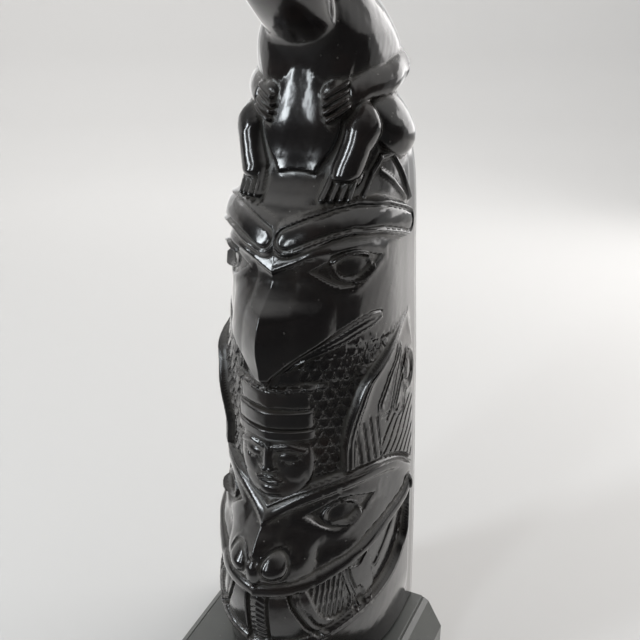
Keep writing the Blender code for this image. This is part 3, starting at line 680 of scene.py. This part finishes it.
# The carved front keeps the sheet's own facing. The slab and the two ends take theirs from their faces.
facing[(np.abs(across) > SHEET_HALF - 1) | (v < 2) | (v > SHEET_HIGH - 3)] = 0.0
bm = bmesh.new()
bm.from_mesh(pole_mesh)
keep = bm.verts.layers.float_vector.new("facing")
for point, direction in zip(bm.verts, facing):
    point[keep] = direction
back_line = [p for p, n in zip(bm.verts, beyond) if n > SIDE - 0.01]
bmesh.ops.remove_doubles(bm, verts=back_line, dist=1e-7)
bmesh.ops.holes_fill(bm, edges=[e for e in bm.edges if e.is_boundary], sides=0)
bmesh.ops.recalc_face_normals(bm, faces=bm.faces)
bm.to_mesh(pole_mesh)
bm.free()
pole_mesh.shade_smooth()
kept = np.empty(len(pole_mesh.vertices) * 3)
pole_mesh.attributes["facing"].data.foreach_get("vector", kept)
pole_mesh.set_sharp_from_angle(angle=math.radians(50))
pole_mesh.normals_split_custom_set_from_vertices(kept.reshape(-1, 3).tolist())
pole = bpy.data.objects.new("carved_pole", pole_mesh)
bpy.context.scene.collection.objects.link(pole)

GLOSS_BLACKS = (
    (0.30, (0.0050, 0.0046, 0.0050)),
    (0.55, (0.0075, 0.0062, 0.0060)),
    (0.80, (0.0140, 0.0090, 0.0075)),
)
DUST_AND_SHEEN_GREY = (0.060, 0.055, 0.048)
PALE_SPECK = (0.16, 0.155, 0.145)
gloss, shader, nodes, links = new_material("gloss black resin")
cast = add_grain(nodes, 420.0, 45.0, 380.0)
# The pale grey tint is real dust in the cuts and a painted reflection on faces turned up; both also dull the
# gloss.
cuts = nodes.new("ShaderNodeAttribute")
cuts.attribute_name = "dust_and_top_sheen"
dust_and_sheen = combine(nodes, links, "MULTIPLY", cuts.outputs["Fac"], 0.55)
faint = combine(nodes, links, "MULTIPLY", cast.outputs["Specks"], 0.45)
black = color_ramp(nodes, links, cast.outputs["Clouds"], GLOSS_BLACKS)
dusted_and_sheened = tint(nodes, links, black, dust_and_sheen, DUST_AND_SHEEN_GREY)
links.new(tint(nodes, links, dusted_and_sheened, faint, PALE_SPECK), shader.inputs["Base Color"])
polish = remap(nodes, links, cast.outputs["Clouds"], (0.0, 1.0), (0.10, 0.22))
dulled = remap(nodes, links, dust_and_sheen, (0.0, 1.0), (0.0, 0.42))
links.new(combine(nodes, links, "ADD", polish, dulled), shader.inputs["Roughness"])
raise_grain(nodes, links, shader, cast.outputs["Grain"], 0.18, 0.00022)
shader.inputs["IOR"].default_value = 1.52
pole_mesh.materials.append(gloss)
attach(pole, "root")
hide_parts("pole")

# The floor isn't part of the object. It is a wide, pale, plain sheet with a soft sweep up far from the
# pole. The camera sees it in one plain tone; the gloss mirrors its front with painted shade, dim, so the
# black stays deep.

FLOOR_REACH = 1.3
FLOOR_SWEEP = ((0.25, 0.03), (0.25, 0.12), (0.22, 0.30), (0.12, 0.60), (0.05, 1.0))
bm = bmesh.new()
bmesh.ops.create_circle(bm, cap_ends=True, segments=96, radius=FLOOR_REACH)
outer = [e for e in bm.edges if e.is_boundary]
for widen, height in FLOOR_SWEEP:
    made = bmesh.ops.extrude_edge_only(bm, edges=outer)["geom"]
    for point in [p for p in made if isinstance(p, bmesh.types.BMVert)]:
        reach = math.hypot(point.co.x, point.co.y)
        point.co.x *= (reach + widen) / reach
        point.co.y *= (reach + widen) / reach
        point.co.z = height
    outer = [e for e in made if isinstance(e, bmesh.types.BMEdge)]
floor_mesh = bpy.data.meshes.new("floor")
bm.to_mesh(floor_mesh)
bm.free()
floor_mesh.shade_smooth()
floor = bpy.data.objects.new("floor", floor_mesh)
bpy.context.scene.collection.objects.link(floor)


def measure(nodes, links, source, direction):
    """How far a place or a direction reaches along the given direction."""
    node = nodes.new("ShaderNodeVectorMath")
    node.operation = "DOT_PRODUCT"
    node.inputs[1].default_value = direction
    links.new(source, node.inputs[0])
    return node.outputs["Value"]


WHITE = (1.0, 1.0, 1.0)
PLAIN_TONE = (0.375, 0.370, 0.365)
SHADED_FRONT_TO_PALE = ((0.0, (0.07, 0.07, 0.07)), (1.0, (0.80, 0.785, 0.77)))
paper, shader, nodes, links = new_material("pale paper with painted front shade")
shader.inputs["Roughness"].default_value = 0.8
place = nodes.new("ShaderNodeTexCoord")
axes = nodes.new("ShaderNodeSeparateXYZ")
links.new(place.outputs["Object"], axes.inputs["Vector"])
backward = measure(nodes, links, place.outputs["Object"], (-0.2, 1.0, 0.0))
backward = remap(nodes, links, backward, (-0.15, -0.045), soft=True)
rising = remap(nodes, links, axes.outputs["Z"], (0.0, 0.08))
behind = combine(nodes, links, "MULTIPLY", rising, backward)
# Painted shade: the floor's front as the gloss mirrors it is dim, growing pale and then white behind.
mirrored_with_painted_shade = tint(nodes, links, color_ramp(nodes, links, backward, SHADED_FRONT_TO_PALE), behind, WHITE)
seen = nodes.new("ShaderNodeLightPath")
shown = tint(nodes, links, mirrored_with_painted_shade, seen.outputs["Is Camera Ray"], PLAIN_TONE)
links.new(shown, shader.inputs["Base Color"])
floor_mesh.materials.append(paper)

# The light is soft daylight: pale from behind and above and dim from the front,
# with two tall, narrow strips at the left front for the long highlights in the gloss.

world = bpy.data.worlds.new("soft daylight")
bpy.context.scene.world = world
world.use_nodes = True
nodes, links = world.node_tree.nodes, world.node_tree.links
sky = nodes["Background"]
where = nodes.new("ShaderNodeTexCoord")
towards = measure(nodes, links, where.outputs["Generated"], (0.10, 0.85, 0.52))
strength = remap(nodes, links, towards, (-0.20, 0.40), (0.06, 1.25), soft=True)
links.new(strength, sky.inputs["Strength"])
sky.inputs["Color"].default_value = (1.0, 0.99, 0.97, 1.0)


def soft_light(name, place, aim, width, height, watts, color):
    """Sets up a rectangular soft light that points at a place on the object."""
    data = bpy.data.lights.new(name, "AREA")
    data.shape = "RECTANGLE"
    data.size, data.size_y = width, height
    data.energy = watts
    data.color = color
    lamp = bpy.data.objects.new(name, data)
    bpy.context.scene.collection.objects.link(lamp)
    lamp.location = place
    lamp.rotation_euler = (Vector(aim) - lamp.location).to_track_quat("-Z", "Y").to_euler()


MIDDLE = (0.0, 0.0, 0.18)
COOL = (0.90, 0.96, 1.0)
soft_light("left strip", (-0.62, -0.62, 0.62), MIDDLE, 0.14, 0.62, 7.0, COOL)
soft_light("front strip", (-0.22, -0.86, 0.62), MIDDLE, 0.09, 0.50, 3.0, COOL)
soft_light("side light", (0.55, 0.75, 0.55), (0.0, 0.0, 0.15), 0.9, 0.7, 9.0, (1.0, 0.98, 0.97))
soft_light("back light", (-0.5, 0.9, 1.3), (-0.8, 1.7, 0.15), 1.8, 0.5, 22.0, WHITE)

# The camera stands close, a little right of the front and looking down on the pole.

CAMERA_RIGHT, CAMERA_FRONT, CAMERA_UP = 0.1061, 0.2468, 0.2517
TURN, TILT = math.radians(25.0), math.radians(20.0)
FOCAL_PIXELS, PICTURE = 680.0, 640.0
lens = bpy.data.cameras.new("camera")
lens.sensor_width = 36.0
lens.lens = FOCAL_PIXELS / PICTURE * lens.sensor_width
lens.clip_start = 0.01
camera = bpy.data.objects.new("camera", lens)
bpy.context.scene.collection.objects.link(camera)
camera.location = (CAMERA_RIGHT, BACK - CAMERA_FRONT, CAMERA_UP)
camera.rotation_euler = (math.pi / 2 - TILT, 0.0, TURN)
bpy.context.scene.camera = camera
bpy.context.scene.view_settings.view_transform = "Standard"
